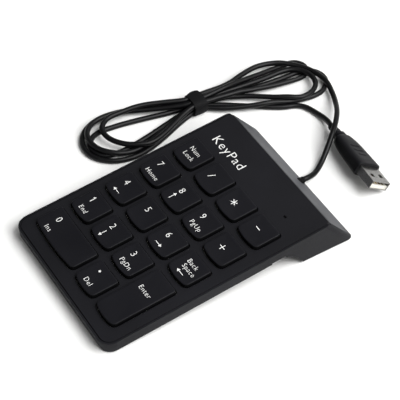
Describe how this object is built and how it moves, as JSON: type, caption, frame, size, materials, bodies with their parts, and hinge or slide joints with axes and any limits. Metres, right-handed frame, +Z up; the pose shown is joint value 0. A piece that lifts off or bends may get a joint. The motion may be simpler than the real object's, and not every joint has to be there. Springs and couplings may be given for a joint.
{
  "type": "numeric keypad",
  "caption": "Slim wired numeric keypad with a slanted rear foot, low square keycaps, a tied hank of USB cord and its plug.",
  "frame": {"origin": "centre of the keypad's outline on the table, under the case and without the cord", "axes": "+X to the right of someone typing, +Y to the rear along the case, +Z up"},
  "size_m": [0.1315, 0.1911, 0.0192],
  "materials": {
    "black_abs": "fine matt texture",
    "key_abs": "fine matt, white printed legends",
    "grey_satin": "satin grey with fine lines",
    "silicone": "translucent matt",
    "film": "clear polyester",
    "board": "solder mask",
    "black_resin": "moulded",
    "capacitor_sleeve": "sleeve",
    "white_plastic": "moulded",
    "smoked_lens": "unlit window",
    "screw_steel": "zinc plated",
    "spring_wire": "drawn wire",
    "foot_rubber": "soft matt",
    "wire_pvc": "four colours",
    "cord_pvc": "semi-gloss",
    "nickel": "satin nickel plate",
    "gold": "gold flash"
  },
  "bodies": {
    "case": {"bottom_case": "black_abs", "top_cover": "black_abs", "rear_panel": "grey_satin", "dome_mat": "silicone", "membrane_top": "film", "membrane_spacer": "film", "membrane_bottom": "film", "circuit_board": "board", "controller_chip": "black_resin", "capacitor": "capacitor_sleeve", "status_led": "white_plastic", "led_lens": "smoked_lens", "membrane_clamp": "black_resin", "clamp_screws": "screw_steel", "case_screws": "screw_steel", "rubber_feet": "foot_rubber", "cable_socket": "white_plastic", "lead_wires": "wire_pvc", "inner_cord": "cord_pvc", "cable_grommet": "foot_rubber", "cord_lead_case": "cord_pvc", "cord_lead_plug": "cord_pvc", "cord_hank": "cord_pvc", "cord_tie": "foot_rubber", "plug_body": "cord_pvc", "plug_shell": "nickel", "plug_tongue": "white_plastic", "plug_contacts": "gold"},
    "key_num_lock_body": {"key_num_lock": "key_abs"},
    "key_divide_body": {"key_divide": "key_abs"},
    "key_multiply_body": {"key_multiply": "key_abs"},
    "key_subtract_body": {"key_subtract": "key_abs"},
    "key_7_body": {"key_7": "key_abs"},
    "key_8_body": {"key_8": "key_abs"},
    "key_9_body": {"key_9": "key_abs"},
    "key_add_body": {"key_add": "key_abs"},
    "key_4_body": {"key_4": "key_abs"},
    "key_5_body": {"key_5": "key_abs"},
    "key_6_body": {"key_6": "key_abs"},
    "key_backspace_body": {"key_backspace": "key_abs"},
    "key_1_body": {"key_1": "key_abs"},
    "key_2_body": {"key_2": "key_abs"},
    "key_3_body": {"key_3": "key_abs"},
    "key_enter_body": {"key_enter": "key_abs"},
    "key_0_body": {"key_0": "key_abs"},
    "key_decimal_body": {"key_decimal": "key_abs"},
    "stabiliser_0_body": {"stabiliser_0": "spring_wire"},
    "stabiliser_enter_body": {"stabiliser_enter": "spring_wire"}
  },
  "joints": [
    {"name": "press_num_lock", "type": "slide", "parent": "case", "child": "key_num_lock_body", "axis": [0, 0.1045, -0.9945], "range_m": [0, 0.0018], "stiffness_N_per_m": 200, "springref_m": -0.0012, "deforming": ["dome_mat"]},
    {"name": "press_divide", "type": "slide", "parent": "case", "child": "key_divide_body", "axis": [0, 0.1045, -0.9945], "range_m": [0, 0.0018], "stiffness_N_per_m": 200, "springref_m": -0.0012, "deforming": ["dome_mat"]},
    {"name": "press_multiply", "type": "slide", "parent": "case", "child": "key_multiply_body", "axis": [0, 0.1045, -0.9945], "range_m": [0, 0.0018], "stiffness_N_per_m": 200, "springref_m": -0.0012, "deforming": ["dome_mat"]},
    {"name": "press_subtract", "type": "slide", "parent": "case", "child": "key_subtract_body", "axis": [0, 0.1045, -0.9945], "range_m": [0, 0.0018], "stiffness_N_per_m": 200, "springref_m": -0.0012, "deforming": ["dome_mat"]},
    {"name": "press_7", "type": "slide", "parent": "case", "child": "key_7_body", "axis": [0, 0.1045, -0.9945], "range_m": [0, 0.0018], "stiffness_N_per_m": 200, "springref_m": -0.0012, "deforming": ["dome_mat"]},
    {"name": "press_8", "type": "slide", "parent": "case", "child": "key_8_body", "axis": [0, 0.1045, -0.9945], "range_m": [0, 0.0018], "stiffness_N_per_m": 200, "springref_m": -0.0012, "deforming": ["dome_mat"]},
    {"name": "press_9", "type": "slide", "parent": "case", "child": "key_9_body", "axis": [0, 0.1045, -0.9945], "range_m": [0, 0.0018], "stiffness_N_per_m": 200, "springref_m": -0.0012, "deforming": ["dome_mat"]},
    {"name": "press_add", "type": "slide", "parent": "case", "child": "key_add_body", "axis": [0, 0.1045, -0.9945], "range_m": [0, 0.0018], "stiffness_N_per_m": 200, "springref_m": -0.0012, "deforming": ["dome_mat"]},
    {"name": "press_4", "type": "slide", "parent": "case", "child": "key_4_body", "axis": [0, 0.1045, -0.9945], "range_m": [0, 0.0018], "stiffness_N_per_m": 200, "springref_m": -0.0012, "deforming": ["dome_mat"]},
    {"name": "press_5", "type": "slide", "parent": "case", "child": "key_5_body", "axis": [0, 0.1045, -0.9945], "range_m": [0, 0.0018], "stiffness_N_per_m": 200, "springref_m": -0.0012, "deforming": ["dome_mat"]},
    {"name": "press_6", "type": "slide", "parent": "case", "child": "key_6_body", "axis": [0, 0.1045, -0.9945], "range_m": [0, 0.0018], "stiffness_N_per_m": 200, "springref_m": -0.0012, "deforming": ["dome_mat"]},
    {"name": "press_backspace", "type": "slide", "parent": "case", "child": "key_backspace_body", "axis": [0, 0.1045, -0.9945], "range_m": [0, 0.0018], "stiffness_N_per_m": 200, "springref_m": -0.0012, "deforming": ["dome_mat"]},
    {"name": "press_1", "type": "slide", "parent": "case", "child": "key_1_body", "axis": [0, 0.1045, -0.9945], "range_m": [0, 0.0018], "stiffness_N_per_m": 200, "springref_m": -0.0012, "deforming": ["dome_mat"]},
    {"name": "press_2", "type": "slide", "parent": "case", "child": "key_2_body", "axis": [0, 0.1045, -0.9945], "range_m": [0, 0.0018], "stiffness_N_per_m": 200, "springref_m": -0.0012, "deforming": ["dome_mat"]},
    {"name": "press_3", "type": "slide", "parent": "case", "child": "key_3_body", "axis": [0, 0.1045, -0.9945], "range_m": [0, 0.0018], "stiffness_N_per_m": 200, "springref_m": -0.0012, "deforming": ["dome_mat"]},
    {"name": "press_enter", "type": "slide", "parent": "case", "child": "key_enter_body", "axis": [0, 0.1045, -0.9945], "range_m": [0, 0.0018], "stiffness_N_per_m": 200, "springref_m": -0.0012, "deforming": ["dome_mat"]},
    {"name": "press_0", "type": "slide", "parent": "case", "child": "key_0_body", "axis": [0, 0.1045, -0.9945], "range_m": [0, 0.0018], "stiffness_N_per_m": 200, "springref_m": -0.0012, "deforming": ["dome_mat"]},
    {"name": "press_decimal", "type": "slide", "parent": "case", "child": "key_decimal_body", "axis": [0, 0.1045, -0.9945], "range_m": [0, 0.0018], "stiffness_N_per_m": 200, "springref_m": -0.0012, "deforming": ["dome_mat"]},
    {"name": "turn_stabiliser_0", "type": "hinge", "parent": "case", "child": "stabiliser_0_body", "pos_m": [-0.0199, -0.05418, 0.00462], "axis": [-1, 0, 0], "range_deg": [0, 13.77]},
    {"name": "turn_stabiliser_enter", "type": "hinge", "parent": "case", "child": "stabiliser_enter_body", "pos_m": [0.02547, -0.04331, 0.00577], "axis": [0, 0.9945, 0.1045], "range_deg": [0, 13.77]}
  ],
  "couplings": [
    {"joint": "turn_stabiliser_0", "follows": "press_0", "rad_per_m": 133.32},
    {"joint": "turn_stabiliser_enter", "follows": "press_enter", "rad_per_m": 133.32}
  ]
}
